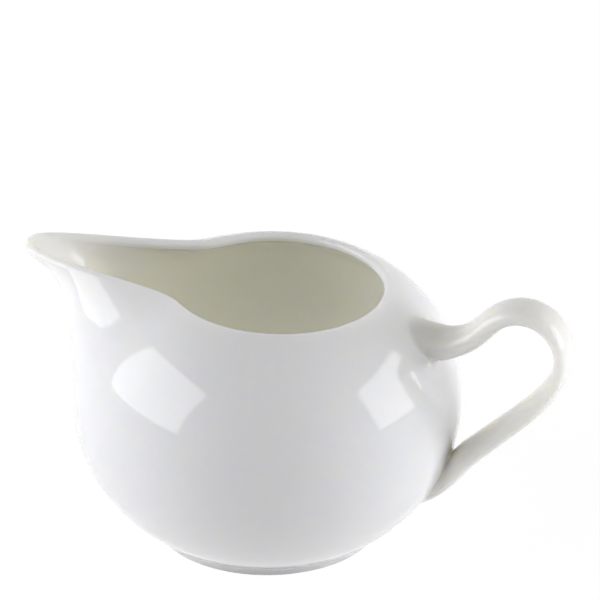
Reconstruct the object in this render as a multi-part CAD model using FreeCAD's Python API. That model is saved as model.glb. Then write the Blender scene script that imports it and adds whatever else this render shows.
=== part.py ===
"""Bone-china milk jug: a round-bellied cast body with a long pulled spout and a looped strap handle.

The body is one wall of even thickness. Its middle surface is a belly turned about the Z axis, whose
shoulder closes in to the mouth; towards the front the clay is pulled out into the spout. Both skins are
that middle surface moved half a wall outwards and inwards, and a half round joins them along the lip.
A turned foot ring carries the body, and the handle is an oval strap luted to shoulder and belly.

Frame: millimetres, +Z up, +X towards the handle, spout along -X, origin on the table at the foot's centre.
"""
import FreeCAD
import Part
import os
from math import cos, exp, log, pi, radians, sin, sqrt, tan

# ---- body
BELLY_RADIUS = 47.5      # outside, at the widest height
BELLY_CENTRE = 12.5      # how far from the axis the belly's arc has its centre
CURVE_CHANGE = 6.1       # how much that arc tightens towards the mouth and slackens towards the foot
WALL = 2.4
MOUTH_RADIUS = 26.7      # to the middle of the lip
MOUTH_RISE = 29.5        # from the widest height up to the middle of the lip
MOUTH_SHIFT = 2.7        # the mouth's centre, from the axis towards the handle
MOUTH_TILT = 1.45        # degrees the lip rises towards the spout
LIP_FLARE = 0.9          # how far the lip turns outwards
BODY_DROP = 31.9         # from the widest height down to the foot ring

# ---- spout
SPOUT_PULL = 36.3        # how far the clay is pulled out beyond the mouth
SPOUT_WIDTH = 28.2       # across the spout where it leaves the mouth
SPREAD_WIDTH = 69.2      # across the pull where it fades out at the widest height
SPREAD_POWER = 1.3       # how soon below the lip the pull spreads out
TIP_ROUNDING = 0.50      # bluntness of the tip, as a share of the half width
EARLY_SHARE = 0.85       # share of the pull that begins low on the belly
EARLY_POWER = 1.93
LATE_POWER = 6.6         # the rest is bent out just under the lip
CORNER_SOFTNESS = 0.14   # roundness of the corner between spout and mouth
FADE_SOFTNESS = 0.30     # the same at the widest height, where the pull fades out
TIP_LIFT = 1.15          # how far the tip stands above the plane of the mouth

# ---- foot
FOOT_RADIUS = 28.1       # outside, where the ring meets the body
FOOT_HEIGHT = 3.3        # to the middle of the wall above the ring
FOOT_TAPER = 0.4         # how far the ring draws in towards the table
RING_WIDTH = 3.6
FOOT_ROUNDING = 0.5
BASE_CLEARANCE = 2.0     # the base's underside above the table

# ---- handle
STRAP_WIDTH = 10.4
ROOT_THICKNESS = 6.8     # of the strap at the shoulder
BEND_THICKNESS = 4.2     # at the outer bend, its thinnest place
LEG_THICKNESS = 6.4      # at the end of the lower leg
BEND_PLACE = 0.62        # where along the strap it is thinnest
SECTION_SQUARE = 2.3     # 2 is an ellipse, more is a squarer oval
ROOT_FLARE = 4.0         # how much the strap swells where it is luted to the shoulder
FLARE_PLACE = 0.20       # where along the strap that swelling has died away
TONGUE_ROUNDING = 0.06   # last share of the strap, rounded off on the belly
# The strap's middle line is one smooth curve with these poles: how far out, and how far above the widest
# height. It leaves the shoulder level, swings up over the loop and runs straight down to the belly.
SHOULDER_POLES = [(-8.5, 21.0), (-1.0, 20.6), (6.7, 20.0)]         # out from the wall's middle there
LOOP_POLES = [(6.6, 24.1), (11.1, 31.0), (20.5, 33.1), (28.1, 26.4), (28.0, 16.0), (18.8, 4.2)]
LEG_POLES = [(4.4, -8.0), (2.3, -18.0), (-1.8, -23.5)]             # out from the wall's middle there

# ---- how finely the surfaces' nets are drawn
COLUMNS = 72             # round the body
FRONT_CROWDING = 0.55    # how much closer the columns stand at the spout
LOWER_ROWS = 9           # foot to widest height
UPPER_ROWS = 12          # widest height to lip
LIP_STEPS = 6            # across the lip's half round
STRAP_ROWS = 34
TONGUE_ROWS = 4
STRAP_COLUMNS = 20
STEP = 1e-4              # for slopes taken by differences

BELLY_HEIGHT = FOOT_HEIGHT + BODY_DROP
MIDDLE_RADIUS = BELLY_RADIUS - WALL / 2
ARC_RADIUS = MIDDLE_RADIUS - BELLY_CENTRE
BASE_TOP = BASE_CLEARANCE + WALL


def vector(x, y, z):
    return FreeCAD.Vector(x, y, z)


def solve(function, low, high):
    """The place between low and high where a falling function passes zero."""
    for _ in range(60):
        middle = (low + high) / 2
        if function(middle) > 0:
            low = middle
        else:
            high = middle
    return (low + high) / 2


# ---------------------------------------------------------------- the body's middle surface
def arc(turn):
    """Radius and height of the middle of the wall where its outward normal has turned up by `turn`."""
    radius = MIDDLE_RADIUS - ARC_RADIUS * (1 - cos(turn)) + CURVE_CHANGE * (turn / 2 - sin(2 * turn) / 4)
    height = ARC_RADIUS * sin(turn) - CURVE_CHANGE * sin(turn) ** 2 / 2
    return radius, height


MOUTH_TURN = solve(lambda turn: arc(turn)[0] - (MOUTH_RADIUS - LIP_FLARE), 0, pi / 2)
FOOT_TURN = solve(lambda turn: arc(-turn)[0] - (FOOT_RADIUS - WALL / 4), 0, pi / 2)
RISE_SCALE = MOUTH_RISE / arc(MOUTH_TURN)[1]
DROP_SCALE = -BODY_DROP / arc(-FOOT_TURN)[1]


def profile(level):
    """Radius and height of the turned belly: level -1 is the foot, 0 the widest place, 1 the lip."""
    if level < 0:
        radius, height = arc(level * FOOT_TURN)
        return radius, height * DROP_SCALE
    radius, height = arc(level * MOUTH_TURN)
    return radius + LIP_FLARE * level ** 8, height * RISE_SCALE


def soft_ramp(value, softness):
    """Zero below zero and `value` above it, with the corner rounded off."""
    return softness * log(1 + exp(min(value / softness, 60.0)))


def pull(across, forward, level):
    """How far the spout carries a point of the belly forward."""
    fade = 1 - level
    length = SPOUT_PULL * (EARLY_SHARE * level ** EARLY_POWER + (1 - EARLY_SHARE) * level ** LATE_POWER)
    width = (SPREAD_WIDTH + (SPOUT_WIDTH - SPREAD_WIDTH) * level ** SPREAD_POWER) / 2
    softness = CORNER_SOFTNESS + (FADE_SOFTNESS - CORNER_SOFTNESS) * fade
    share = abs(across) / width
    blunt = (share ** 3 + TIP_ROUNDING ** 3) ** (1 / 3) - TIP_ROUNDING
    full = (1 + TIP_ROUNDING ** 3) ** (1 / 3) - TIP_ROUNDING
    front_only = 1 / (1 + exp(-forward / WALL))
    return length * soft_ramp(1 - blunt / full, softness) * front_only


def middle(azimuth, level):
    """A point of the wall's middle surface; azimuth 0 is the spout."""
    radius, height = profile(level)
    forward, across = radius * cos(azimuth), radius * sin(azimuth)
    height += BELLY_HEIGHT
    if level > 0:
        late = level ** 4
        height += late * forward * tan(radians(MOUTH_TILT))
        forward -= late * MOUTH_SHIFT
        out = pull(across, radius * cos(azimuth), level)
        forward += out
        height += level ** 2 * out * tan(radians(MOUTH_TILT)) + TIP_LIFT * (out / SPOUT_PULL) ** 2
    return vector(-forward, across, height)


def frame_at(azimuth, level):
    """The middle point, the outward normal and the upward direction along the wall."""
    low, high = max(level - STEP, -1), min(level + STEP, 1)
    along = middle(azimuth + STEP, level) - middle(azimuth - STEP, level)
    up = middle(azimuth, high) - middle(azimuth, low)
    normal = up.cross(along).normalize()
    return middle(azimuth, level), normal, along.cross(normal).normalize()


# ---------------------------------------------------------------- surfaces from nets of points
def azimuths():
    """Columns round the body, closest together at the spout."""
    steps = [2 * pi * i / COLUMNS for i in range(COLUMNS)]
    return [step - FRONT_CROWDING * sin(step) for step in steps]


def sharpen(line, closed):
    """Poles whose cubic curve passes through the points of `line`, to a very close measure."""
    count = len(line)
    poles = list(line)
    for i in range(0 if closed else 2, count if closed else count - 2):
        before, after = line[i - 1], line[(i + 1) % count]
        poles[i] = line[i] + (line[i] * 2 - before - after) / 6
    return poles


def net_surface(rows):
    """A cubic surface, closed round each row and open from row to row."""
    rows = [sharpen(row, True) for row in rows]
    columns = [sharpen(list(column), False) for column in zip(*rows)]
    spans = len(rows) - 3
    surface = Part.BSplineSurface()
    surface.buildFromPolesMultsKnots(
        columns, [1] * (len(columns) + 1), [4] + [1] * (spans - 1) + [4],
        list(range(len(columns) + 1)), list(range(spans + 1)), True, False, 3, 3)
    return surface


def capped(surface):
    """The solid between a net surface and flat caps on its first and last rows."""
    side = surface.toShape()
    first, last = surface.bounds()[2:]
    caps = [Part.Face(Part.Wire([surface.vIso(end).toShape()])) for end in (first, last)]
    shell = Part.Shell([side] + caps)
    solid = Part.Solid(shell)
    solid.fix(1e-4, 1e-6, 1e-3)
    if solid.Volume < 0:
        solid.reverse()
    return solid


# ---------------------------------------------------------------- body and foot
def flat_ring(radius, height):
    return [vector(-radius * cos(a), radius * sin(a), height) for a in azimuths()]


def wall_rows():
    """From under the base, up the outer skin, over the lip and down the inner skin to the base."""
    lower = [-1 + i / LOWER_ROWS for i in range(LOWER_ROWS)]
    upper = [1 - (1 - i / UPPER_ROWS) ** 1.5 for i in range(UPPER_ROWS + 1)]
    levels = lower + upper
    outer, inner = [], []
    for level in levels:
        frames = [frame_at(a, level) for a in azimuths()]
        outer.append([point + normal * (WALL / 2) for point, normal, _ in frames])
        inner.append([point - normal * (WALL / 2) for point, normal, _ in frames])
    lip = []
    for i in range(1, LIP_STEPS):
        turn = pi * i / LIP_STEPS
        lip.append([point + (normal * cos(turn) + up * sin(turn)) * (WALL / 2)
                    for point, normal, up in [frame_at(a, 1) for a in azimuths()]])
    foot = outer[0][0]
    outer_radius = sqrt(foot.x ** 2 + foot.y ** 2)
    under = [flat_ring(outer_radius - drawn, BASE_CLEARANCE + rise)
             for drawn, rise in ((3.6 * WALL, 0), (2.4 * WALL, 0), (1.2 * WALL, (foot.z - BASE_CLEARANCE) / 3))]
    floor = [flat_ring(outer_radius - drawn, BASE_TOP + rise)
             for drawn, rise in ((2.2 * WALL, (inner[0][0].z - BASE_TOP) / 3), (3.6 * WALL, 0), (4.8 * WALL, 0))]
    return under + outer + lip + inner[::-1] + floor


def foot_ring():
    """The turned ring under the body, rounded where it stands on the table."""
    outside, inside = FOOT_RADIUS, FOOT_RADIUS - RING_WIDTH
    top = FOOT_HEIGHT + WALL / 4
    tread_out, tread_in = outside - FOOT_TAPER, inside + FOOT_TAPER / 2
    corner = FOOT_ROUNDING * (1 - 1 / sqrt(2))
    edges = [
        Part.LineSegment(vector(inside, 0, top), vector(outside, 0, top)),
        Part.LineSegment(vector(outside, 0, top), vector(tread_out, 0, FOOT_ROUNDING)),
        Part.Arc(vector(tread_out, 0, FOOT_ROUNDING), vector(tread_out - corner, 0, corner),
                 vector(tread_out - FOOT_ROUNDING, 0, 0)),
        Part.LineSegment(vector(tread_out - FOOT_ROUNDING, 0, 0), vector(tread_in + FOOT_ROUNDING, 0, 0)),
        Part.Arc(vector(tread_in + FOOT_ROUNDING, 0, 0), vector(tread_in + corner, 0, corner),
                 vector(tread_in, 0, FOOT_ROUNDING)),
        Part.LineSegment(vector(tread_in, 0, FOOT_ROUNDING), vector(inside, 0, top)),
    ]
    face = Part.Face(Part.Wire([edge.toShape() for edge in edges]))
    return face.revolve(vector(0, 0, 0), vector(0, 0, 1), 360)


# ---------------------------------------------------------------- handle
def wall_reach(rise):
    """Radius of the wall's middle at a height above or below the widest place."""
    side = 1 if rise > 0 else -1
    level = solve(lambda share: abs(rise) - abs(profile(side * share)[1]), 0, 1)
    return profile(side * level)[0]


def strap_line():
    rooted = [(wall_reach(rise) + reach, rise) for reach, rise in SHOULDER_POLES]
    rooted += [(MIDDLE_RADIUS + reach, rise) for reach, rise in LOOP_POLES]
    rooted += [(wall_reach(rise) + reach, rise) for reach, rise in LEG_POLES]
    poles = [vector(out, 0, BELLY_HEIGHT + rise) for out, rise in rooted]
    spans = len(poles) - 3
    line = Part.BSplineCurve()
    line.buildFromPolesMultsKnots(poles, [4] + [1] * (spans - 1) + [4], [i / spans for i in range(spans + 1)],
                                  False, 3)
    return line


def strap_size(place):
    """Thickness and width: thinnest at the outer bend, swollen at the shoulder, rounded off at the end."""
    if place < BEND_PLACE:
        thickness = BEND_THICKNESS + (ROOT_THICKNESS - BEND_THICKNESS) * (1 - place / BEND_PLACE)
    else:
        thickness = BEND_THICKNESS + (LEG_THICKNESS - BEND_THICKNESS) * (place - BEND_PLACE) / (1 - BEND_PLACE)
    flare = ROOT_FLARE * max(0, 1 - place / FLARE_PLACE) ** 2
    past = max(0, place - 1 + TONGUE_ROUNDING) / TONGUE_ROUNDING
    closing = sqrt(1 - (0.94 * past) ** 2)
    return (thickness + flare) * closing, (STRAP_WIDTH + flare) * closing


def strap_rows():
    line = strap_line()
    rows = []
    body_rows = [(1 - TONGUE_ROUNDING) * i / STRAP_ROWS for i in range(STRAP_ROWS)]
    tongue_rows = [1 - TONGUE_ROUNDING * (1 - sin(pi / 2 * i / TONGUE_ROWS)) for i in range(TONGUE_ROWS + 1)]
    for place in body_rows + tongue_rows:
        centre, along = line.value(place), line.tangent(place)[0]
        side = vector(0, 1, 0)
        out = along.cross(side).normalize()
        thickness, width = strap_size(place)
        row = []
        for j in range(STRAP_COLUMNS):
            turn = 2 * pi * j / STRAP_COLUMNS
            size = (abs(cos(turn)) ** SECTION_SQUARE + abs(sin(turn)) ** SECTION_SQUARE) ** (-1 / SECTION_SQUARE)
            row.append(centre + out * (size * cos(turn) * thickness / 2) + side * (size * sin(turn) * width / 2))
        rows.append(row)
    return rows


def core():
    """What the handle's ends are cut with: the turned belly out to the middle of its wall."""
    count = 24
    line = [profile(2 * i / count - 1) for i in range(count + 1)]
    points = [vector(radius, 0, BELLY_HEIGHT + height) for radius, height in line]
    curve = Part.BSplineCurve()
    curve.interpolate(points)
    bottom, top = vector(0, 0, points[0].z), vector(0, 0, points[-1].z)
    edges = [curve.toShape(), Part.makeLine(points[-1], top), Part.makeLine(top, bottom),
             Part.makeLine(bottom, points[0])]
    return Part.Face(Part.Wire(edges)).revolve(vector(0, 0, 0), vector(0, 0, 1), 360)


def jug():
    body = capped(net_surface(wall_rows()))
    handle = capped(net_surface(strap_rows())).cut(core())
    return body.fuse([foot_ring(), handle])


os.makedirs("parts", exist_ok=True)
shape = jug()
if shape.ShapeType == "Compound" and len(shape.Solids) == 1:
    shape = shape.Solids[0]
shape.exportStep("parts/jug.step")
box = shape.BoundBox
print("solids", len(shape.Solids), "valid", shape.isValid(), "volume cm3", round(shape.Volume / 1000, 2))
print("box", [round(v, 2) for v in (box.XMin, box.YMin, box.ZMin, box.XMax, box.YMax, box.ZMax)])
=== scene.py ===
# %% [markdown]
# # A bone-china milk jug
# The jug is a small slip-cast pot of glazed bone china: a round belly that closes in to an open mouth,
# a long spout pulled out of the shoulder, a low turned foot ring and a looped strap handle luted on at
# the back. Everything on it is one skin of white clay under clear glaze, so the whole jug is modelled as
# one closed mesh, with the handle grown out of the wall, and then given one glazed material.
#
# The CAD model of the same jug comes in first. It fixes the size, the place and the name of the part, and
# its box is kept.

# %% Load the frame
import bmesh
import bpy
from math import atan2, ceil, cos, exp, log, pi, radians, sin, sqrt, tan
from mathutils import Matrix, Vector


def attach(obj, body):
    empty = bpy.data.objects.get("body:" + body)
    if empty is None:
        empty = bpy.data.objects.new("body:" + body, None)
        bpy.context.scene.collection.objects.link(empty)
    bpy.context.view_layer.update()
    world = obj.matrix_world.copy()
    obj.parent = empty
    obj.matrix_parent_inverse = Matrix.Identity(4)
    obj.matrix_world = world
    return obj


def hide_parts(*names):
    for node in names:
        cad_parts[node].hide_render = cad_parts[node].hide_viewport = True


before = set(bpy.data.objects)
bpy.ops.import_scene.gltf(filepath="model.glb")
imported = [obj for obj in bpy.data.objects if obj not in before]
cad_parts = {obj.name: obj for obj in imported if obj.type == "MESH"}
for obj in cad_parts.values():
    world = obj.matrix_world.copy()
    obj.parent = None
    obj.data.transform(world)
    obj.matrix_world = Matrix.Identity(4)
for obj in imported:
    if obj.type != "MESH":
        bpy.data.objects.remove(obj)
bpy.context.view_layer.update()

# %% [markdown]
# ## The sizes
# A potter's drawing of this jug needs some thirty sizes. They are the same ones that drive the CAD model,
# in millimetres: the belly and its foot, the mouth, the pull of the spout, and the handle's line. Working
# in millimetres keeps the numbers readable, and the mesh is scaled to metres once, at the very end.

# %% Sizes of the body, spout, foot and handle
BELLY_RADIUS, BELLY_CENTRE, CURVE_CHANGE, WALL = 47.5, 12.5, 6.1, 2.4
MOUTH_RADIUS, MOUTH_RISE, MOUTH_SHIFT, MOUTH_TILT = 26.7, 29.5, 2.7, 1.45
LIP_FLARE, FLARE_POWER, TILT_POWER = 0.9, 8, 4
BODY_DROP = 31.9
SPOUT_PULL, SPOUT_WIDTH, SPREAD_WIDTH, SPREAD_POWER = 36.3, 28.2, 69.2, 1.3
TIP_ROUNDING, TIP_LIFT = 0.50, 1.15
EARLY_SHARE, EARLY_POWER, LATE_POWER = 0.85, 1.93, 6.6
CORNER_SOFTNESS, FADE_SOFTNESS = 0.14, 0.30
FOOT_RADIUS, FOOT_HEIGHT, FOOT_TAPER, RING_WIDTH, BASE_CLEARANCE = 28.1, 3.3, 0.4, 3.6, 2.0
STRAP_WIDTH, ROOT_THICKNESS, BEND_THICKNESS, LEG_THICKNESS, BEND_PLACE = 10.4, 6.8, 4.2, 6.4, 0.62
SECTION_SQUARE, ROOT_FLARE, FLARE_PLACE, TONGUE_ROUNDING, TONGUE_CLOSING = 2.3, 4.0, 0.20, 0.06, 0.94
SHOULDER_POLES = [(-8.5, 21.0), (-1.0, 20.6), (6.7, 20.0)]
LOOP_POLES = [(6.6, 24.1), (11.1, 31.0), (20.5, 33.1), (28.1, 26.4), (28.0, 16.0), (18.8, 4.2)]
LEG_POLES = [(4.4, -8.0), (2.3, -18.0), (-1.8, -23.5)]

BELLY_HEIGHT = FOOT_HEIGHT + BODY_DROP
MIDDLE_RADIUS = BELLY_RADIUS - WALL / 2
ARC_RADIUS = MIDDLE_RADIUS - BELLY_CENTRE
BASE_TOP = BASE_CLEARANCE + WALL
print("belly", 2 * BELLY_RADIUS, "mm across, widest", round(BELLY_HEIGHT, 1), "mm above the table")

# %% [markdown]
# ## The belly's line
# Seen from the side the belly is an arc that tightens towards the mouth and slackens towards the foot. One
# could trace it with a curve object, but a short formula is easier to change and can be asked for a point
# anywhere. It is written for the middle of the wall. A `level` runs from -1 at the foot through 0 at the
# widest place to 1 at the lip.

# %% The turned line of the belly
def solve(function, low, high):
    """The place between low and high where a falling function passes zero."""
    for _ in range(40):
        middle_place = (low + high) / 2
        if function(middle_place) > 0:
            low = middle_place
        else:
            high = middle_place
    return (low + high) / 2


def belly_arc(turn):
    radius = MIDDLE_RADIUS - ARC_RADIUS * (1 - cos(turn)) + CURVE_CHANGE * (turn / 2 - sin(2 * turn) / 4)
    return radius, ARC_RADIUS * sin(turn) - CURVE_CHANGE * sin(turn) ** 2 / 2


MOUTH_TURN = solve(lambda turn: belly_arc(turn)[0] - (MOUTH_RADIUS - LIP_FLARE), 0, pi / 2)
FOOT_TURN = solve(lambda turn: belly_arc(-turn)[0] - (FOOT_RADIUS - WALL / 4), 0, pi / 2)
RISE_SCALE = MOUTH_RISE / belly_arc(MOUTH_TURN)[1]
DROP_SCALE = -BODY_DROP / belly_arc(-FOOT_TURN)[1]


def belly_line(level):
    """Radius and height from the widest place, at a level."""
    if level < 0:
        radius, height = belly_arc(level * FOOT_TURN)
        return radius, height * DROP_SCALE
    radius, height = belly_arc(level * MOUTH_TURN)
    return radius + LIP_FLARE * level ** FLARE_POWER, height * RISE_SCALE


print("line at foot, belly, lip:", [tuple(round(v, 1) for v in belly_line(level)) for level in (-1, 0, 1)])

# %% [markdown]
# ## The pull of the spout
# A potter makes such a spout by drawing the soft wall forward between finger and thumb. The clay moves
# most at the lip, and the pull dies away down the belly and to both sides. It could be sculpted by hand,
# but then the wall would change its thickness. Here the pull is a field: for any place on the wall it says
# how far the clay has been carried forward. Low down it is wide and gentle, and at the lip it is narrow,
# with a rounded tip and a soft corner where it leaves the mouth.

# %% How far the clay is carried forward
TINY = 1e-4


def soft_ramp(value, softness):
    """Zero below zero and `value` above it, with the corner rounded off."""
    return softness * log(1 + exp(min(value / softness, 60.0)))


def pull(across, forward, level):
    length = SPOUT_PULL * (EARLY_SHARE * level ** EARLY_POWER + (1 - EARLY_SHARE) * level ** LATE_POWER)
    width = (SPREAD_WIDTH + (SPOUT_WIDTH - SPREAD_WIDTH) * level ** SPREAD_POWER) / 2
    softness = CORNER_SOFTNESS + (FADE_SOFTNESS - CORNER_SOFTNESS) * (1 - level)
    share = abs(across) / width
    blunt = (share ** 3 + TIP_ROUNDING ** 3) ** (1 / 3) - TIP_ROUNDING
    full = (1 + TIP_ROUNDING ** 3) ** (1 / 3) - TIP_ROUNDING
    return length * soft_ramp(1 - blunt / full, softness) / (1 + exp(-forward / WALL))


def wall_middle(azimuth, level):
    """A point in the middle of the wall. Azimuth 0 is the spout, on -X, and pi the handle, on +X."""
    radius, height = belly_line(level)
    forward, across = radius * cos(azimuth), radius * sin(azimuth)
    height += BELLY_HEIGHT
    if level > 0:
        late = level ** TILT_POWER
        height += late * forward * tan(radians(MOUTH_TILT))
        forward -= late * MOUTH_SHIFT
        out = pull(across, radius * cos(azimuth), level)
        forward += out
        height += level ** 2 * out * tan(radians(MOUTH_TILT)) + TIP_LIFT * (out / SPOUT_PULL) ** 2
    return Vector((-forward, across, height))


def wall_point(azimuth, level, skin=1.0, lip=0.0):
    """The same place moved `skin` half walls outwards and `lip` half walls up along the wall."""
    high, low = min(level + TINY, 1), max(level - TINY, -1)
    along = wall_middle(azimuth + TINY, level) - wall_middle(azimuth - TINY, level)
    up = wall_middle(azimuth, high) - wall_middle(azimuth, low)
    normal = up.cross(along).normalized()
    up = along.cross(normal).normalized()
    return wall_middle(azimuth, level) + (normal * skin + up * lip) * (WALL / 2)


print("spout tip:", [round(v, 1) for v in wall_point(0, 1, 0, 0)])

# %% [markdown]
# ## The template
# A turned pot is a line spun about an axis. The line could follow one side of the wall and a Solidify
# modifier could give it thickness, but then the foot ring and the round lip need extra work. Instead the
# whole outline of the section is drawn: from the middle of the underside, round the foot ring, up the
# outside, over the lip and down the inside to the middle of the floor. Each vertex remembers its level,
# the side of the wall it belongs to and its share of the lip, in layers that the spin copies with it. The
# turned foot and floor have no level, which is written as `TURNED`. Two more layers carry painted light:
# a painted glow grows from the lip down into the jug and also paints the foot ring lighter, and `strap` is
# kept for painted shade on the handle.

# %% The outline of the section
COLUMNS = 72
TURNED = -2.0
LOWER_LEVELS = [-0.985, -0.93, -0.84, -0.735, -0.625, -0.51, -0.39, -0.265, -0.135]
UPPER_LEVELS = [1 - (1 - i / 12) ** 1.5 for i in range(13)]
LEVELS = LOWER_LEVELS + UPPER_LEVELS
ring_out, ring_in = FOOT_RADIUS - FOOT_TAPER, FOOT_RADIUS - RING_WIDTH

under_base = [(0, BASE_CLEARANCE), (7, BASE_CLEARANCE), (14, BASE_CLEARANCE), (20, BASE_CLEARANCE),
              (ring_in - 1.3, BASE_CLEARANCE), (ring_in - 0.35, BASE_CLEARANCE - 0.3),
              (ring_in + 0.05, 1.1), (ring_in + 0.25, 0.45), (ring_in + 0.7, 0.04), (ring_in + 1.2, 0.0),
              (ring_out - 1.0, 0.0), (ring_out - 0.42, 0.04), (ring_out - 0.05, 0.4),
              (ring_out + 0.05, 1.0), (ring_out + 0.2, 1.7)]
inner_floor = [(23.0, BASE_TOP - 0.07), (19.0, BASE_TOP), (13.0, BASE_TOP), (6.5, BASE_TOP), (0, BASE_TOP)]

section = [(radius, height, TURNED, 0, 0) for radius, height in under_base]
section += [(*belly_line(level), level, 1, 0) for level in LEVELS]
section += [(*belly_line(1), 1, cos(turn), sin(turn)) for turn in (pi / 4, pi / 2, 3 * pi / 4)]
section += [(*belly_line(level), level, -1, 0) for level in reversed(LEVELS)]
section += [(radius, height, TURNED, 0, 0) for radius, height in inner_floor]
print(len(section), "points in the outline")

# %% [markdown]
# ## Spinning it
# `bmesh.ops.spin` turns the outline about the Z axis, and `use_merge` closes the seam. The two ends lie on
# the axis, where the spin leaves many vertices in one place, so doubles are merged afterwards. The wall's
# own vertices wait above the jug, one over the other, until they are placed in the next step.

# %% Spin the outline
# How far the painted glow reaches down inside, and how much of it paints the foot ring lighter.
GLOW_DEPTH, FOOT_GLOW = 0.35, 0.8
WAITING_HEIGHT = 100

bm = bmesh.new()
level_of, skin_of, lip_of, azimuth_of, glow_of, strap_shade_of = (
    bm.verts.layers.float.new(name) for name in ("level", "skin", "lip", "azimuth", "painted_glow", "strap"))

chain = []
for number, (radius, height, level, skin, lip) in enumerate(section):
    vert = bm.verts.new((-radius, 0, height if level == TURNED else WAITING_HEIGHT + number))
    vert[level_of], vert[skin_of], vert[lip_of] = level, skin, lip
    # Painted light: a lighter, creamier tone inside the jug and on the foot ring.
    inside = skin == -1 or (level == TURNED and height > BASE_CLEARANCE + WALL / 2)
    outer_glow = FOOT_GLOW if level == TURNED else 0
    vert[glow_of] = min(1, (1 - level) / GLOW_DEPTH) if inside else outer_glow
    chain.append(vert)
for first, second in zip(chain, chain[1:]):
    bm.edges.new((first, second))
bmesh.ops.spin(bm, geom=bm.verts[:] + bm.edges[:], axis=(0, 0, 1), cent=(0, 0, 0), angle=2 * pi,
               steps=COLUMNS, use_merge=True)
bmesh.ops.remove_doubles(bm, verts=bm.verts, dist=TINY)
print(len(bm.verts), "vertices,", len(bm.faces), "faces")

# %% [markdown]
# ## Placing the clay
# Every vertex now takes its real place from the pull. The columns are also crowded: they stand closest at
# the spout, where the shape changes fastest, and fairly close at the back, where the handle joins. The open
# spout is as white as the outside, so the painted glow fades out along it.

# %% Crowd the columns and pull the spout
FRONT_CROWDING, BOTH_ENDS_CROWDING = 0.36, 0.17
WHITE_SPOUT, FADE_LENGTH = -44, 34


def crowded(azimuth):
    return azimuth - FRONT_CROWDING * sin(azimuth) - BOTH_ENDS_CROWDING * sin(2 * azimuth)


for vert in bm.verts:
    radius = sqrt(vert.co.x ** 2 + vert.co.y ** 2)
    azimuth = crowded(atan2(vert.co.y, -vert.co.x) % (2 * pi)) if radius > TINY else 0
    vert[azimuth_of] = azimuth
    if vert[level_of] == TURNED:
        vert.co = (-radius * cos(azimuth), radius * sin(azimuth), vert.co.z)
    else:
        vert.co = wall_point(azimuth, vert[level_of], vert[skin_of], vert[lip_of])
        # The painted glow fades out along the open spout.
        vert[glow_of] *= min(1, max(0, (vert.co.x - WHITE_SPOUT) / FADE_LENGTH))
bmesh.ops.recalc_face_normals(bm, faces=bm.faces)
spans = [[vert.co[i] for vert in bm.verts] for i in range(3)]
print("body, mm:", [round(max(span) - min(span), 1) for span in spans])

# %% [markdown]
# ## The handle's line and section
# The handle was rolled or pressed as a strap of oval section, bent while soft and luted on with slip. It
# leaves the shoulder level, swings up over the finger's loop and runs down to lie along the belly. Its
# middle line is one smooth curve steered by a dozen poles, which are tied to the wall at both ends. The
# section is an oval that swells at the upper root, thins at the outer bend and is rounded off where its
# lower end is pressed on to the belly as a little tongue.

# %% The strap as a surface
def wall_reach(rise):
    """How far out the wall's middle is at a height above or below the widest place."""
    side = 1 if rise > 0 else -1
    level = solve(lambda share: abs(rise) - abs(belly_line(side * share)[1]), 0, 1)
    return belly_line(side * level)[0]


rooted = [(wall_reach(rise) + reach, rise) for reach, rise in SHOULDER_POLES]
rooted += [(MIDDLE_RADIUS + reach, rise) for reach, rise in LOOP_POLES]
rooted += [(wall_reach(rise) + reach, rise) for reach, rise in LEG_POLES]
STRAP_POLES = [Vector((out, 0, BELLY_HEIGHT + rise)) for out, rise in rooted]
SPANS = len(STRAP_POLES) - 3
KNOTS = [0] * 4 + list(range(1, SPANS)) + [SPANS] * 4
NUDGE = 1e-3


def strap_middle(place):
    """A point of the clamped cubic curve, by repeated mixing of four poles; place runs from 0 to 1."""
    reach = min(max(place, 0), 1) * SPANS
    span = min(int(reach), SPANS - 1)
    mixed = [pole.copy() for pole in STRAP_POLES[span:span + 4]]
    for depth in range(1, 4):
        for i in range(3, depth - 1, -1):
            left, right = KNOTS[i + span], KNOTS[i + span + 4 - depth]
            mixed[i] = mixed[i - 1].lerp(mixed[i], (reach - left) / (right - left))
    return mixed[3]


def strap_size(place):
    """Thickness and width of the strap, with the flare of its root and the rounding of its tongue."""
    if place < BEND_PLACE:
        end_thickness, share = ROOT_THICKNESS, 1 - place / BEND_PLACE
    else:
        end_thickness, share = LEG_THICKNESS, (place - BEND_PLACE) / (1 - BEND_PLACE)
    thickness = BEND_THICKNESS + (end_thickness - BEND_THICKNESS) * share
    flare = ROOT_FLARE * max(0, 1 - place / FLARE_PLACE) ** 2
    past = max(0, place - 1 + TONGUE_ROUNDING) / TONGUE_ROUNDING
    closing = sqrt(1 - (TONGUE_CLOSING * past) ** 2)
    return (thickness + flare) * closing, (STRAP_WIDTH + flare) * closing


def strap_point(place, turn):
    """A point of the strap's surface. Turn 0 is its outer side, and a quarter turn faces +Y."""
    place = min(max(place, 0), 1)
    along = (strap_middle(place + NUDGE) - strap_middle(place - NUDGE)).normalized()
    side = Vector((0, 1, 0))
    out = along.cross(side).normalized()
    thickness, width = strap_size(place)
    size = (abs(cos(turn)) ** SECTION_SQUARE + abs(sin(turn)) ** SECTION_SQUARE) ** (-1 / SECTION_SQUARE)
    outwards, sideways = size * cos(turn) * thickness / 2, size * sin(turn) * width / 2
    return strap_middle(place) + out * outwards + side * sideways


STRAP_LENGTH = sum((strap_middle((i + 1) / 200) - strap_middle(i / 200)).length for i in range(200))
print("strap:", round(STRAP_LENGTH, 1), "mm long")

# %% [markdown]
# ## Where the strap meets the wall
# A boolean would join the two shapes with a hard, ragged edge. The glaze on the real jug runs into that
# corner and fills it, so the mesh is joined by hand instead. First, for every line that runs along the
# strap, the place where it comes out of the glazed wall is found. Together they make a slanting loop, and
# a few points are spread evenly along it. Each root is described by a place on the strap that is free of
# the wall, a place that is buried in it, and the level of the wall to start looking from.

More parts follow.
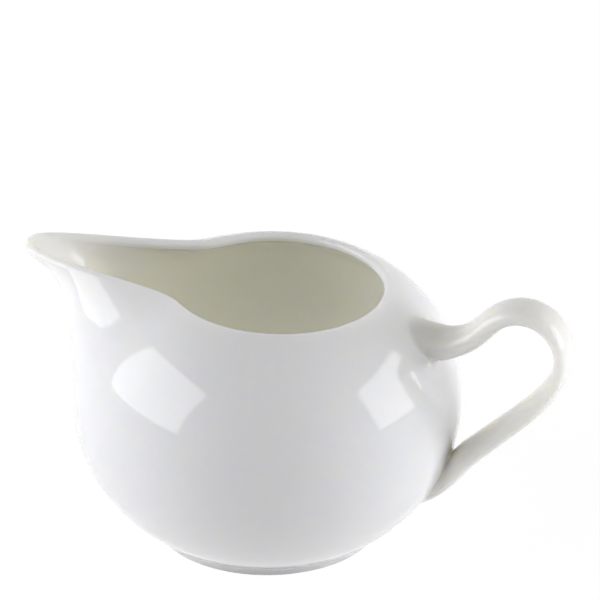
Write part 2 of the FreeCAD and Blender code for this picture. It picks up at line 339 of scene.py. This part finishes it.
# %% Find the loops where the strap leaves the skin
SIDES, LINES = 16, 48
EDGE_LEVEL, SEARCH_STEPS = 0.97, 7
UPPER_ROOT, LOWER_ROOT = (0.30, 0.0, 0.6), (0.62, 1.0, -0.3)
UPPER_FILLET, LOWER_FILLET, FILLET_RISE = 0.8, 0.5, 0.8


def skin_place(target, level):
    """Azimuth and level of the point of the outer skin nearest to a target at the back of the jug."""
    azimuth = pi
    for _ in range(SEARCH_STEPS):
        here = wall_point(azimuth, level)
        around = (wall_point(azimuth + NUDGE, level) - here) / NUDGE
        upward = (wall_point(azimuth, level + NUDGE) - here) / NUDGE
        miss = target - here
        azimuth += miss.dot(around) / around.length_squared
        level = min(max(level + miss.dot(upward) / upward.length_squared, -EDGE_LEVEL), EDGE_LEVEL)
    return azimuth, level


def outward_at(azimuth, level):
    return (wall_point(azimuth, level, 1) - wall_point(azimuth, level, -1)).normalized()


def height_above_skin(target, level):
    azimuth, level = skin_place(target, level)
    return (target - wall_point(azimuth, level)).dot(outward_at(azimuth, level))


def loop_at(height, root):
    """The loop of the strap's surface that stands `height` above the skin, as places and turns."""
    free, buried, level = root
    loop = []
    for i in range(LINES + 1):
        turn = 2 * pi * i / LINES

        def excess(share):
            return height_above_skin(strap_point(free + (buried - free) * share, turn), level) - height

        loop.append((free + (buried - free) * solve(excess, 0, 1), turn))
    return loop


def spread(loop, point_of):
    """SIDES members spread evenly along a closed loop."""
    points = [point_of(member) for member in loop]
    run = [0]
    for first, second in zip(points, points[1:]):
        run.append(run[-1] + (second - first).length)
    chosen = []
    for i in range(SIDES):
        goal = run[-1] * i / SIDES
        k = max(j for j in range(len(run) - 1) if run[j] <= goal)
        share = (goal - run[k]) / (run[k + 1] - run[k])
        chosen.append(tuple(a + (b - a) * share for a, b in zip(loop[k], loop[k + 1])))
    return chosen


def footprint(edge, fillet, root):
    """The edge's loop on the skin, a fillet's width outside the strap, as azimuths and levels."""
    points = [strap_point(*member) for member in edge[:-1]]
    centre = sum(points, Vector()) / len(points)
    outset = []
    for i, point in enumerate(points):
        azimuth, level = skin_place(point, root[2])
        step = points[(i + 1) % len(points)] - points[i - 1]
        across = step.cross(outward_at(azimuth, level)).normalized()
        across *= 1 if across.dot(point - centre) > 0 else -1
        outset.append(skin_place(wall_point(azimuth, level) + across * fillet, level))
    return spread(outset + outset[:1], lambda member: wall_point(*member))


def root_loops(root, fillet):
    """The rim's places on the skin and the first ring's places on the strap, for one root."""
    edge = loop_at(0.0, root)
    places = [round(place, 3) for place, _ in edge]
    print("the strap leaves the skin at places", min(places), "to", max(places))
    ring = spread(loop_at(FILLET_RISE * fillet, root), lambda member: strap_point(*member))
    return footprint(edge, fillet, root), ring


upper_print, upper_ring = root_loops(UPPER_ROOT, UPPER_FILLET)
lower_print, lower_ring = root_loops(LOWER_ROOT, LOWER_FILLET)

# %% [markdown]
# ## Opening the wall
# Four columns by four rows of the outer skin are taken out at each root, which leaves a rim of sixteen
# vertices. The rim is laid on the loop around the strap, and the skin's own vertices nearby are eased
# apart. They slide along the skin, as azimuths and levels, so that the belly keeps its shape exactly.

# %% Cut the two holes and ease the skin around them
HOLE, MARGIN = SIDES // 4, 1e-3
EASED_RINGS, EASING_ROUNDS, EASED_ABOVE = 5, 30, -0.98


def on_outer_skin(vert):
    return vert[skin_of] == 1 and vert[lip_of] == 0


def open_wall(prints, tip_is_low):
    """Takes out the skin under a root and returns the rim's vertices in the strap's order."""
    levels = [level for _, level in prints]
    centre = (min(levels) + max(levels)) / 2
    first = min(range(len(LEVELS) - HOLE), key=lambda i: abs((LEVELS[i] + LEVELS[i + HOLE]) / 2 - centre))
    low, high = LEVELS[first] - MARGIN, LEVELS[first + HOLE] + MARGIN
    widest = {round(v[azimuth_of], 4) for v in bm.verts if on_outer_skin(v) and abs(v[level_of]) < TINY}
    columns = sorted(widest, key=lambda azimuth: abs(azimuth - pi))[:HOLE + 1]
    west, east = min(columns) - MARGIN, max(columns) + MARGIN
    inside = {v for v in bm.verts
              if on_outer_skin(v) and low < v[level_of] < high and west < v[azimuth_of] < east}
    faces = [f for f in bm.faces if all(v in inside for v in f.verts)]
    rim = {v for f in faces for v in f.verts if any(g not in faces for g in v.link_faces)}
    bmesh.ops.delete(bm, geom=faces, context="FACES")
    middle_column = [v for v in rim if abs(v[azimuth_of] - pi) < MARGIN]
    start = min(middle_column, key=lambda v: v[level_of] * (1 if tip_is_low else -1))
    ring = [start]
    while len(ring) < len(rim):
        near = [e.other_vert(ring[-1]) for e in ring[-1].link_edges if e.is_boundary]
        near = [v for v in near if v not in ring]
        ring.append(min(near, key=lambda v: v[azimuth_of]) if len(ring) == 1 else near[0])
    for vert, (azimuth, level) in zip(ring, prints):
        vert[azimuth_of], vert[level_of] = azimuth, level
    return ring


def ease_skin(ring):
    """Slides the skin's vertices around a rim to the mean place of their neighbours."""
    bm.verts.index_update()
    moving, front = [], set(ring)
    for _ in range(EASED_RINGS):
        front = {e.other_vert(v) for v in front for e in v.link_edges} - set(ring) - set(moving)
        front = {v for v in front if on_outer_skin(v) and v[level_of] > EASED_ABOVE}
        moving += sorted(front, key=lambda v: v.index)
    for _ in range(EASING_ROUNDS):
        for vert in moving:
            near = [e.other_vert(vert) for e in vert.link_edges]
            near = [v for v in near if on_outer_skin(v) and v[level_of] != TURNED]
            if len(near) == 4:
                vert[azimuth_of] = sum(v[azimuth_of] for v in near) / 4
                vert[level_of] = sum(v[level_of] for v in near) / 4
    for vert in ring + moving:
        vert.co = wall_point(vert[azimuth_of], vert[level_of])


upper_rim = open_wall(upper_print, tip_is_low=False)
lower_rim = open_wall(lower_print, tip_is_low=True)
ease_skin(upper_rim)
ease_skin(lower_rim)
print("rims of", len(upper_rim), "and", len(lower_rim), "vertices")

# %% [markdown]
# ## Drawing out the handle
# The upper rim is now extruded again and again. Each new ring is laid on the strap: the first follows the
# slant of the wall, the next few turn until they stand square to the strap, and near the lower root they
# slant again. The last ring falls on the lower rim, and merging doubles closes the joint. On the way the
# `strap` layer is filled in with painted shade: some all along the solid handle, and most on the inner side
# of its roots, in the creases where it meets the wall.

# %% Extrude the handle from rim to rim
RING_SPACING, SQUARE_AFTER = 3.2, 2.5
# Painted shade on the handle: a grey all along it, and more on the inner side of the rings near each root.
STRAP_SHADE, ROOT_CREASE_SHADE, DARKEST_CREASE_RING, CREASE_SHADE_REACH = 0.35, 0.7, 1.5, 3
SIDE_SHADE_SHARE, INNER_SHADE_SHARE = 0.62, 0.38


def square_ring(place):
    return [(place, 2 * pi * i / SIDES) for i in range(SIDES)]


def rings_between(first, second):
    """Rings from one to the other, no further apart than the spacing, with the second ring included."""
    gap = max((strap_point(*a) - strap_point(*b)).length for a, b in zip(first, second))
    count = max(1, ceil(gap / RING_SPACING))
    return [[tuple(a + (b - a) * (k + 1) / count for a, b in zip(m, n)) for m, n in zip(first, second)]
            for k in range(count)]


def draw_out(ring, points):
    """Extrudes a ring of vertices and lays the new ring on the given points."""
    edges = [bm.edges.get((ring[i - 1], ring[i])) for i in range(len(ring))]
    made = bmesh.ops.extrude_edge_only(bm, edges=edges)["geom"]
    fresh = {item for item in made if isinstance(item, bmesh.types.BMVert)}
    following = [next(e.other_vert(v) for e in v.link_edges if e.other_vert(v) in fresh) for v in ring]
    for vert, point in zip(following, points):
        vert.co = point
        vert[level_of], vert[skin_of], vert[lip_of] = TURNED, 0, 0
    return following


beyond_root = SQUARE_AFTER / STRAP_LENGTH
first_square = square_ring(max(place for place, _ in upper_ring) + beyond_root)
last_square = square_ring(min(place for place, _ in lower_ring) - beyond_root)
rings = [upper_ring] + rings_between(upper_ring, first_square)
rings += rings_between(first_square, last_square)
rings += rings_between(last_square, lower_ring)
ring = upper_rim
for count, members in enumerate(rings):
    ring = draw_out(ring, [strap_point(*member) for member in members])
    # Painted shade: darkest a ring or two from each root, on the inner side of the strap.
    from_root = min(count, len(rings) - 1 - count)
    crease_shade = ROOT_CREASE_SHADE * max(0, 1 - abs(from_root - DARKEST_CREASE_RING) / CREASE_SHADE_REACH)
    for vert, (_, turn) in zip(ring, members):
        vert[strap_shade_of] = STRAP_SHADE + crease_shade * (SIDE_SHADE_SHARE - INNER_SHADE_SHARE * cos(turn))
ring = draw_out(ring, [vert.co.copy() for vert in lower_rim])
bmesh.ops.remove_doubles(bm, verts=ring + lower_rim, dist=MARGIN)
bmesh.ops.recalc_face_normals(bm, faces=bm.faces)
print(len(rings), "rings; open edges left:", sum(1 for e in bm.edges if not e.is_manifold))

# %% [markdown]
# ## Keeping the size under a Subdivision Surface
# A Subdivision Surface gives the soft, seamless curves of a glazed skin, but it also shrinks a shape a
# little towards the inside of each bend, which would thin the lip and the handle. The cure is to push each
# vertex out first, away from the mean of its neighbours, by as much as the smoothing will take back.

# %% Push the vertices out by what the smoothing takes back
SMOOTHING_LOSS, MILLIMETRE = 2 / 3, 0.001

moved = {}
for vert in bm.verts:
    near = [e.other_vert(vert).co for e in vert.link_edges]
    if len(near) == 4:
        moved[vert] = vert.co + (vert.co - sum(near, Vector()) / 4) * SMOOTHING_LOSS
for vert, place in moved.items():
    vert.co = place
bmesh.ops.scale(bm, vec=[MILLIMETRE] * 3, verts=bm.verts)

mesh = bpy.data.meshes.new("jug_china")
bm.to_mesh(mesh)
bm.free()
mesh.shade_smooth()
jug = bpy.data.objects.new("jug_china", mesh)
bpy.context.scene.collection.objects.link(jug)
smooth = jug.modifiers.new("soft glaze", "SUBSURF")
smooth.levels = smooth.render_levels = 2
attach(jug, "root")
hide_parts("jug")
print("jug:", len(mesh.polygons), "faces before smoothing")

# %% [markdown]
# ## The glaze
# Bone china is a warm, slightly see-through white under a clear, hard glaze. A plain white Principled
# shader looks like plastic, because real glaze is never quite even: its tone drifts over some centimetres
# and its surface has a very low, wide waviness from the way it flowed in the kiln. Both are made by one
# node group on Object coordinates, so that the pattern stays with the piece.

# %% A node group for the unevenness of a fired glaze
SMOOTHEST, ROUGHEST = 0.05, 0.11


def new_group(name, inputs, outputs):
    group = bpy.data.node_groups.new(name, "ShaderNodeTree")
    for label, kind, value in inputs:
        socket = group.interface.new_socket(label, in_out="INPUT", socket_type=kind)
        socket.default_value = value
    for label, kind in outputs:
        group.interface.new_socket(label, in_out="OUTPUT", socket_type=kind)
    return group, group.nodes.new("NodeGroupInput"), group.nodes.new("NodeGroupOutput")


fired_glaze, given, result = new_group(
    "fired glaze",
    [("Tone", "NodeSocketColor", (0.8, 0.8, 0.78, 1)), ("Deep Tone", "NodeSocketColor", (0.76, 0.76, 0.7, 1)),
     ("Drift Scale", "NodeSocketFloat", 18.0), ("Wave Scale", "NodeSocketFloat", 60.0)],
    [("Color", "NodeSocketColor"), ("Roughness", "NodeSocketFloat"), ("Height", "NodeSocketFloat")])
nodes, links = fired_glaze.nodes, fired_glaze.links
coordinates = nodes.new("ShaderNodeTexCoord")
drift, wave = nodes.new("ShaderNodeTexNoise"), nodes.new("ShaderNodeTexNoise")
for noise, scale, detail in ((drift, "Drift Scale", 2.0), (wave, "Wave Scale", 1.0)):
    noise.inputs["Detail"].default_value = detail
    links.new(coordinates.outputs["Object"], noise.inputs["Vector"])
    links.new(given.outputs[scale], noise.inputs["Scale"])
mix = nodes.new("ShaderNodeMix")
mix.data_type = "RGBA"
roughness = nodes.new("ShaderNodeMapRange")
roughness.inputs["To Min"].default_value, roughness.inputs["To Max"].default_value = SMOOTHEST, ROUGHEST
links.new(drift.outputs["Fac"], mix.inputs["Factor"])
links.new(given.outputs["Tone"], mix.inputs["A"])
links.new(given.outputs["Deep Tone"], mix.inputs["B"])
links.new(mix.outputs["Result"], result.inputs["Color"])
links.new(drift.outputs["Fac"], roughness.inputs["Value"])
links.new(roughness.outputs["Result"], result.inputs["Roughness"])
links.new(wave.outputs["Fac"], result.inputs["Height"])
print("group sockets:", [item.name for item in fired_glaze.interface.items_tree])

# %% [markdown]
# ## The china itself
# The material is the Principled shader with the glaze as its own gloss. Subsurface scattering carries light
# through the thin wall, so that the hollow of the jug glows a little and the shadows on the belly stay
# soft. Light and shade are also painted into the tone: one layer paints a lighter, creamier glow inside the
# jug, in place of light bounced about in the hollow, and paints the foot ring lighter too, and the `strap`
# layer paints shade on the handle, greyer all along and darker in the creases at its roots. The numbers that
# are the same all over, such as the index of refraction of glaze, are set straight on the shader.

# %% Bone china under clear glaze
# The second colour is a painted glow for the inside and the foot ring, the third painted shade for the
# handle.
OUTSIDE, INSIDE_GLOW, STRAP_SHADE_TONE = (0.885, 0.872, 0.855), (0.99, 0.982, 0.85), (0.60, 0.605, 0.625)
DEEPENING = 0.985

china = bpy.data.materials.new("bone_china")
china.use_nodes = True
nodes, links = china.node_tree.nodes, china.node_tree.links
shader = nodes["Principled BSDF"]
glaze = nodes.new("ShaderNodeGroup")
glaze.node_tree = fired_glaze
for label, deepening in (("Tone", 1.0), ("Deep Tone", DEEPENING)):
    tones = []
    # One layer mixes in the painted glow, the other the painted shade of the handle.
    for layer, colour in (("painted_glow", INSIDE_GLOW), ("strap", STRAP_SHADE_TONE)):
        amount, tone = nodes.new("ShaderNodeAttribute"), nodes.new("ShaderNodeMix")
        amount.attribute_name = layer
        tone.data_type = "RGBA"
        tone.inputs["A"].default_value = [v * deepening for v in OUTSIDE] + [1]
        tone.inputs["B"].default_value = [v * deepening for v in colour] + [1]
        links.new(amount.outputs["Fac"], tone.inputs["Factor"])
        tones.append(tone)
    links.new(tones[0].outputs["Result"], tones[1].inputs["A"])
    links.new(tones[1].outputs["Result"], glaze.inputs[label])
bump = nodes.new("ShaderNodeBump")
bump.inputs["Strength"].default_value = 0.06
bump.inputs["Distance"].default_value = MILLIMETRE
shader.inputs["IOR"].default_value = 1.52
shader.inputs["Subsurface Weight"].default_value = 1.0
shader.inputs["Subsurface Radius"].default_value = (1.0, 0.94, 0.66)
shader.inputs["Subsurface Scale"].default_value = 0.0084
links.new(glaze.outputs["Color"], shader.inputs["Base Color"])
links.new(glaze.outputs["Roughness"], shader.inputs["Roughness"])
links.new(glaze.outputs["Height"], bump.inputs["Height"])
links.new(bump.outputs["Normal"], shader.inputs["Normal"])
mesh.materials.append(china)
print("material:", china.name)

# %% [markdown]
# ## The studio
# The jug stands on a plain white table between two large softboxes, with the camera's own side darker, so
# that the round belly is light at both flanks and greyer in front. Three weak fills light the flanks from
# low down and the spout from behind, and they are kept out of the reflections. The white surroundings are
# seen by the camera and in reflections, but they don't light the jug: that is left to the lamps.

# %% Floor, world and softboxes
AMBIENT, TABLE_TONE, TABLE_GLOW, WHITE_SHARE = 0.24, 0.93, 1.07, 0.85
LAMP_DISTANCE, LAMP_TARGET = 1.0, Vector((0, 0, 0.04))
FILL_WIDTH, FILL_HEIGHT = 0.8, 0.3
FLOOR_HALF, FLOOR_GAP = 3.0, 0.0001


def math_node(tree, operation, first, second):
    """A Math node with its first input linked and its second either linked or set."""
    node = tree.nodes.new("ShaderNodeMath")
    node.operation = operation
    tree.links.new(first, node.inputs[0])
    if isinstance(second, float):
        node.inputs[1].default_value = second
    else:
        tree.links.new(second, node.inputs[1])
    return node.outputs[0]


def seen_directly(tree):
    """A value of 1 for rays of the camera, of reflections and of glass."""
    path = tree.nodes.new("ShaderNodeLightPath").outputs
    seen = math_node(tree, "MAXIMUM", path["Is Camera Ray"], path["Is Glossy Ray"])
    return math_node(tree, "MAXIMUM", seen, path["Is Transmission Ray"])


def show_by_ray(tree, share, unseen, seen, output_kind):
    """Gives the seen shader to rays that see directly and the unseen one to those that only carry light."""
    choose, out = tree.nodes.new("ShaderNodeMixShader"), tree.nodes.new(output_kind)
    tree.links.new(share, choose.inputs["Fac"])
    tree.links.new(unseen.outputs[0], choose.inputs[1])
    tree.links.new(seen.outputs[0], choose.inputs[2])
    tree.links.new(choose.outputs[0], out.inputs["Surface"])


world = bpy.data.worlds.new("white studio")
bpy.context.scene.world = world
world.use_nodes = True
tree = world.node_tree
tree.nodes.clear()
shown, ambient = tree.nodes.new("ShaderNodeBackground"), tree.nodes.new("ShaderNodeBackground")
for background, strength in ((shown, 1.0), (ambient, AMBIENT)):
    background.inputs["Color"].default_value = (1, 1, 1, 1)
    background.inputs["Strength"].default_value = strength
show_by_ray(tree, seen_directly(tree), ambient, shown, "ShaderNodeOutputWorld")

floor_mesh = bpy.data.meshes.new("floor")
sheet = bmesh.new()
bmesh.ops.create_grid(sheet, x_segments=1, y_segments=1, size=FLOOR_HALF)
bmesh.ops.translate(sheet, verts=sheet.verts, vec=(0, 0, -FLOOR_GAP))
sheet.to_mesh(floor_mesh)
sheet.free()
floor = bpy.data.objects.new("floor", floor_mesh)
bpy.context.scene.collection.objects.link(floor)
table = bpy.data.materials.new("white table")
table.use_nodes = True
tree = table.node_tree
tree.nodes.clear()
matt, white = tree.nodes.new("ShaderNodeBsdfDiffuse"), tree.nodes.new("ShaderNodeEmission")
matt.inputs["Color"].default_value = (TABLE_TONE, TABLE_TONE, TABLE_TONE, 1)
white.inputs["Strength"].default_value = TABLE_GLOW
share = math_node(tree, "MULTIPLY", seen_directly(tree), WHITE_SHARE)
show_by_ray(tree, share, matt, white, "ShaderNodeOutputMaterial")
floor_mesh.materials.append(table)


def direction(azimuth, elevation):
    """A direction away from the jug; azimuth 0 is in front of it and 90 is where the handle points."""
    a, e = radians(azimuth), radians(elevation)
    return Vector((sin(a) * cos(e), -cos(a) * cos(e), sin(e)))


def softbox(name, azimuth, elevation, width, height, power):
    """A soft lamp at a direction from the jug, turned to face it."""
    lamp = bpy.data.lights.new(name, "AREA")
    lamp.shape = "RECTANGLE"
    lamp.size, lamp.size_y, lamp.energy = width, height, power
    holder = bpy.data.objects.new(name, lamp)
    bpy.context.scene.collection.objects.link(holder)
    back = direction(azimuth, elevation)
    holder.location = LAMP_TARGET + back * LAMP_DISTANCE
    holder.rotation_euler = back.to_track_quat("Z", "Y").to_euler()
    return holder


softbox("left softbox", -60, 26, 0.97, 0.72, 6.3)
softbox("right softbox", 101, 17, 0.73, 0.61, 4.0)
for name, azimuth, elevation, power in (("back fill", -120, 15, 1.8), ("low right fill", 100, 5, 4.6),
                                        ("low left fill", -82, 4, 2.7)):
    fill = softbox(name, azimuth, elevation, FILL_WIDTH, FILL_HEIGHT, power)
    fill.visible_glossy = False

# %% [markdown]
# ## The camera
# A long lens from well back and a little above shows the mouth as an open oval and keeps the upright lines
# upright. The camera looks a little above and beside the jug's middle, which sets the jug in its frame
# without any lens shift.

# %% Camera and colour
CAMERA_AZIMUTH, CAMERA_ELEVATION, CAMERA_DISTANCE, LENS = 17.2, 28.2, 1.4, 345.6
JUG_MIDDLE, LOOK_RIGHT, LOOK_UP = Vector((0, 0, 0.0352)), 0.00802, 0.0227

scene = bpy.context.scene
camera_data = bpy.data.cameras.new("camera")
camera = bpy.data.objects.new("camera", camera_data)
scene.collection.objects.link(camera)
back, rightwards = direction(CAMERA_AZIMUTH, CAMERA_ELEVATION), direction(CAMERA_AZIMUTH + 90, 0)
upwards = back.cross(rightwards)
camera.location = JUG_MIDDLE + back * CAMERA_DISTANCE
looked_at = JUG_MIDDLE + rightwards * LOOK_RIGHT + upwards * LOOK_UP
camera.rotation_mode = "QUATERNION"
camera.rotation_quaternion = (camera.location - looked_at).to_track_quat("Z", "Y")
camera_data.sensor_width = 36
camera_data.lens = LENS
camera_data.clip_start, camera_data.clip_end = 0.05, 20
scene.camera = camera
scene.view_settings.view_transform = "Standard"
print("camera at", [round(v, 3) for v in camera.location])
